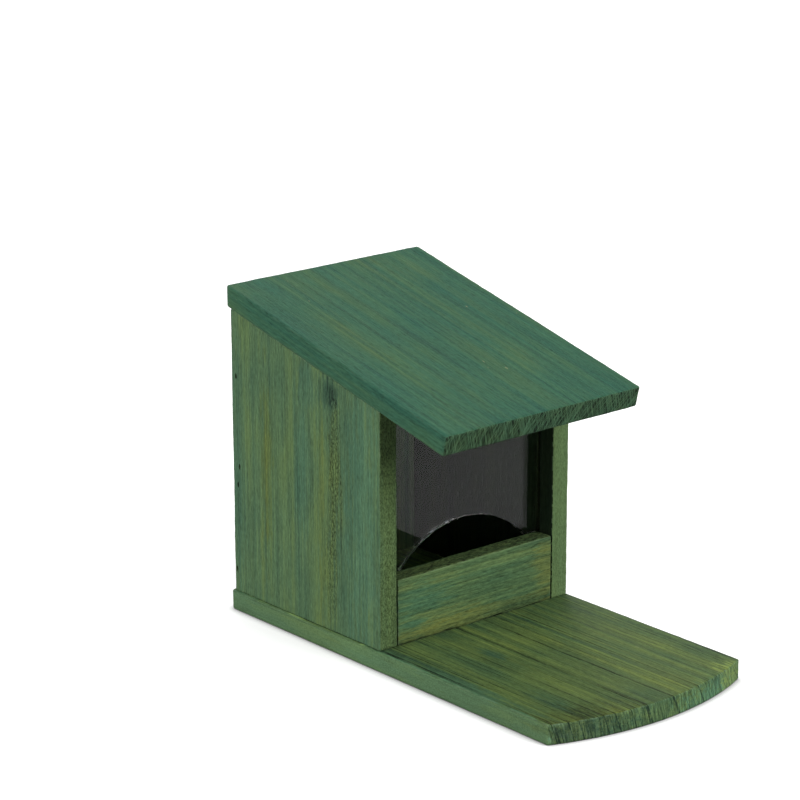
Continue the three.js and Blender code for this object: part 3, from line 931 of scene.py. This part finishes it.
bpy.ops.object.select_all(action="DESELECT")
bpy.ops.mesh.primitive_cylinder_add(
    vertices=32, radius=(pin_high.z - pin_low.z) / 2, depth=2 * hinge_half,
    location=pin_middle, rotation=(0, math.pi / 2, 0),
)
pin = bpy.context.object
pin.name = "peened_hinge_pin"
pin.data.name = pin.name
bpy.ops.object.transform_apply(location=True, rotation=True, scale=True)
for end in (-1, 1):
    edit_piece(pin)
    pick_points(pin, lambda at: at.x * end > 0)
    bpy.ops.mesh.select_mode(type="FACE")
    bpy.ops.mesh.inset(thickness=PIN_RIM)
    bpy.ops.mesh.inset(thickness=PIN_RIM, depth=-PIN_DISH)
    bpy.ops.object.mode_set(mode="OBJECT")
ease_edges(pin, PIN_ARRIS, steps=2)
finish_shape(pin, 40)
pin.data.materials.append(zinc)
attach(pin, "case")
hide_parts("hinge_pin")


def hinge_screw(name, head):
    """A countersunk screw along Y, its head flush at a place and its cross recess tapered."""
    screw = turned_blank(name, SCREW_HEAD, SCREW_RIM, head)
    edit_piece(screw)
    taper = SCREW_HEAD_HEIGHT - SCREW_RIM
    level = draw_out(screw, head.y - SCREW_RIM, taper, SCREW_SHANK / SCREW_HEAD)
    level = draw_out(screw, level, SCREW_LENGTH - SCREW_HEAD_HEIGHT - SCREW_POINT, 1)
    draw_out(screw, level, SCREW_POINT, SCREW_TIP_SHARE)
    bpy.ops.object.mode_set(mode="OBJECT")
    arm = (RECESS_HALF_LENGTH, RECESS_HALF_WIDTH)
    for width, height in (arm, arm[::-1]):
        bar = saw_square(
            "recess",
            head - Vector((width, RECESS_DEPTH, height)),
            head + Vector((width, RECESS_OVERRUN, height)),
        )
        edit_piece(bar)
        pick_points(bar, lambda at: at.y < head.y)
        bpy.ops.transform.resize(value=RECESS_TAPER_SHARES, center_override=head)
        bpy.ops.object.mode_set(mode="OBJECT")
        cut_away(screw, bar)
    ease_edges(screw, SCREW_ARRIS, steps=2)
    finish_shape(screw, 40)
    screw.data.materials.append(zinc)
    return screw


first_place = screw_place("case", "left")
first_screw = hinge_screw("countersunk_screw", first_place)
for leaf_name, body in [("case", "case"), ("lid", "lid")]:
    for side_name in ("left", "right"):
        screw = first_screw.copy()
        screw.data = first_screw.data.copy()
        screw.name = f"countersunk_screw_{leaf_name}_leaf_{side_name}"
        screw.data.name = screw.name
        bpy.context.collection.objects.link(screw)
        take_up(screw)
        bpy.ops.transform.translate(value=screw_place(leaf_name, side_name) - first_place)
        bpy.ops.object.transform_apply(location=True, rotation=True, scale=True)
        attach(screw, body)
        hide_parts(f"screw_{leaf_name}_leaf_{side_name}")
bpy.data.objects.remove(first_screw)


# Lid: one planed board with the grain running down the slope, its front end sawn square.
# Its rear end is sawn plumb and screwed to the hinge.

LID_HALF_WIDTH = 0.061
LID_THICKNESS = 0.0105
LID_FRONT_REACH = 0.0455
LID_SEAT = 0.0003
LID_ROUND = 0.0016
LID_ARRIS = 0.0009

lid_rear_low = Vector((0, BASE_REAR, back_top + LID_SEAT / math.cos(LID_PITCH)))
lid_length = (BASE_REAR - SIDE_FRONT + LID_FRONT_REACH) / math.cos(LID_PITCH)
lid_front = lid_rear_low.y - lid_length
lid = saw_square(
    "lid_board_planed",
    (-LID_HALF_WIDTH, lid_front, lid_rear_low.z),
    (LID_HALF_WIDTH, lid_rear_low.y, lid_rear_low.z + LID_THICKNESS),
)
edit_piece(lid)
pick_points(lid, lambda at: (
    at.y > lid_rear_low.y - SAME_PLACE and at.z > lid_rear_low.z + SAME_PLACE
))
bpy.ops.transform.translate(value=(0, LID_THICKNESS * math.tan(LID_PITCH), 0))
bpy.ops.object.mode_set(mode="OBJECT")
plumb = Vector((0, math.cos(LID_PITCH), -math.sin(LID_PITCH)))
round_corners(
    lid, LID_ROUND,
    wanted=lambda middle: True,
    planes=[
        ((0, lid_front, 0), (0, -1, 0)),
        (lid_rear_low, plumb),
        ((LID_HALF_WIDTH, 0, 0), (1, 0, 0)),
        ((-LID_HALF_WIDTH, 0, 0), (-1, 0, 0)),
    ],
)
divide(lid, 0, lambda middle: abs(middle.x) < LID_HALF_WIDTH - LID_ROUND)
divide(lid, 1, lambda middle: (
    middle.y > lid_front + LID_ROUND and (middle - lid_rear_low).dot(plumb) < -LID_ROUND
))
divide(lid, 2)
edit_piece(lid)
bpy.ops.mesh.select_all(action="SELECT")
bpy.ops.transform.rotate(value=-LID_PITCH, orient_axis="X", center_override=lid_rear_low)
bpy.ops.object.mode_set(mode="OBJECT")
ease_edges(lid, LID_ARRIS)
lid_up = (0, -math.sin(LID_PITCH), math.cos(LID_PITCH))
lid_along = (0, math.cos(LID_PITCH), math.sin(LID_PITCH))
weather(lid, planed=[(1, 0, 0), lid_up, lid_along, (0, 1, 0)])
finish_shape(lid)
lid.data.materials.append(stained_softwood(
    "teal stained lid",
    seed=6,
    turn=(-math.degrees(LID_PITCH), 0, -90),
    grain=lid_along,
    pith=(-90.0, 89.0),
    ring_gap=2.6,
    waver=2.0,
    ring_dark=0.15,
    shades=[(45, 92, 77), (50, 93, 75), (55, 93, 71), (61, 92, 65), (67, 89, 57)],
    saw_slants=(-40, 20),
    saw_pitch=2.0,
    end_pale=0.45,
    end_dark=0.17,
    end_scratch=0.9,
    end_shade=(66, 86, 60),
    contrast=0.9,
    tinting=1.2,
    rub=0.15,
))
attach(lid, "lid")
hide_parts("lid_board")


# Brads: driven by a nail gun through the sides and up through the base, their oblong heads sunk a
# little. The stain has run into the holes, so the dull drawn steel is nearly black.

blackened, brad_tree, brad_shader = bare_finish("stained over brad steel")
brad_at = wire(brad_tree, "ShaderNodeTexCoord", {})["Object"]
grime = stretched_noise(brad_tree, brad_at, (1500.0, 1500.0, 1500.0), detail=3.0)[0]
thin = ramp_between(brad_tree, grime, 0.35, 0.65)
brad_colour = laid_over(brad_tree, thin, shade(6, 9, 6), shade(24, 28, 20))
brad_tree.links.new(brad_colour, brad_shader.inputs["Base Color"])
brad_tree.links.new(sums(brad_tree, "MULTIPLY_ADD", grime, 0.3, 0.55), brad_shader.inputs["Roughness"])
brad_shader.inputs["Metallic"].default_value = 0.3
brad_shader.inputs["Specular IOR Level"].default_value = 0.2
for name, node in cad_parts.items():
    if name.startswith("brad"):
        node.data.materials.clear()
        node.data.materials.append(blackened)


# The studio: a plain white floor and backdrop, soft light from the left, the front and behind,
# and a long lens at the photograph's angle. The floor is shaded close round the foot of the box.

FOOT_SHADE = 0.004
CAMERA_PLACE = (-0.912015, -1.015379, 0.528201)
CAMERA_DIP = 16.545
CAMERA_ROLL = 0.159
CAMERA_TURN = -40.319


def seen_directly(tree):
    """One for rays from the camera, and for those that metal or glass sends on."""
    rays = wire(tree, "ShaderNodeLightPath", {})
    direct = sums(tree, "MAXIMUM", rays["Is Camera Ray"], rays["Is Glossy Ray"])
    return sums(tree, "MAXIMUM", direct, rays["Is Transmission Ray"])


bpy.ops.object.select_all(action="DESELECT")
bpy.ops.mesh.primitive_plane_add(size=8, location=(0, 0, 0))
floor = bpy.context.object
floor.name = "floor"
paper = bpy.data.materials.new("white paper")
paper.use_nodes = True
paper_tree = paper.node_tree
paper_tree.nodes.clear()
# Painted shade: ambient occlusion darkens the floor's colour and glow close round the foot of the box
foot = wire(paper_tree, "ShaderNodeAmbientOcclusion", {"Distance": FOOT_SHADE}, samples=8)["AO"]
dim = wire(paper_tree, "ShaderNodeBsdfDiffuse", {"Color": (0.3, 0.3, 0.3, 1)})[0]
matt = wire(paper_tree, "ShaderNodeBsdfDiffuse", {"Color": sums(paper_tree, "MULTIPLY", foot, 0.7)})[0]
glow = wire(paper_tree, "ShaderNodeEmission", {"Strength": sums(paper_tree, "MULTIPLY", foot, 0.6)})[0]
lit = wire(paper_tree, "ShaderNodeAddShader", {0: matt, 1: glow})[0]
mixed = wire(paper_tree, "ShaderNodeMixShader", {0: seen_directly(paper_tree), 1: dim, 2: lit})[0]
wire(paper_tree, "ShaderNodeOutputMaterial", {"Surface": mixed})
floor.data.materials.append(paper)

world = bpy.data.worlds.new("studio")
bpy.context.scene.world = world
world.use_nodes = True
sky_tree = world.node_tree
sky_tree.nodes.clear()
toward = wire(sky_tree, "ShaderNodeTexCoord", {})["Generated"]
height = wire(sky_tree, "ShaderNodeSeparateXYZ", {0: toward})["Z"]
softbox = ramp_between(sky_tree, height, 0.0, 0.8, 0.15, 0.42)
front_left = vectors(sky_tree, "DOT_PRODUCT", toward, (-0.65, -0.76, 0.0))
softbox = sums(sky_tree, "MULTIPLY", softbox, ramp_between(sky_tree, front_left, 0.4, 0.9, 1.0, 0.3))
strength = laid_over(sky_tree, seen_directly(sky_tree), softbox, (1, 1, 1, 1))
sky = wire(sky_tree, "ShaderNodeBackground", {"Color": (1, 1, 1, 1), "Strength": strength})[0]
wire(sky_tree, "ShaderNodeOutputWorld", {"Surface": sky})

for name, place, size, power in [
    ("left softbox", (-3.8, 0.3, 1.5), 2.4, 118),
    ("front softbox", (1.6, -3.6, 2.2), 2.4, 190),
    ("rear softbox", (1.5, 3.6, 1.6), 2.4, 70),
]:
    bpy.ops.object.light_add(type="AREA", location=place)
    lamp = bpy.context.object
    lamp.name = name
    lamp.data.size = size
    lamp.data.energy = power
    lamp.rotation_euler = (-Vector(place)).to_track_quat("-Z", "Y").to_euler()

bpy.ops.object.camera_add(location=CAMERA_PLACE)
camera = bpy.context.object
camera.name = "camera"
camera.data.lens = 136.36
camera.data.sensor_width = 36
camera_angles = (90 - CAMERA_DIP, CAMERA_ROLL, CAMERA_TURN)
camera.rotation_euler = [math.radians(angle) for angle in camera_angles]
camera.data.clip_end = 20
bpy.context.scene.camera = camera
bpy.context.scene.view_settings.view_transform = "Standard"
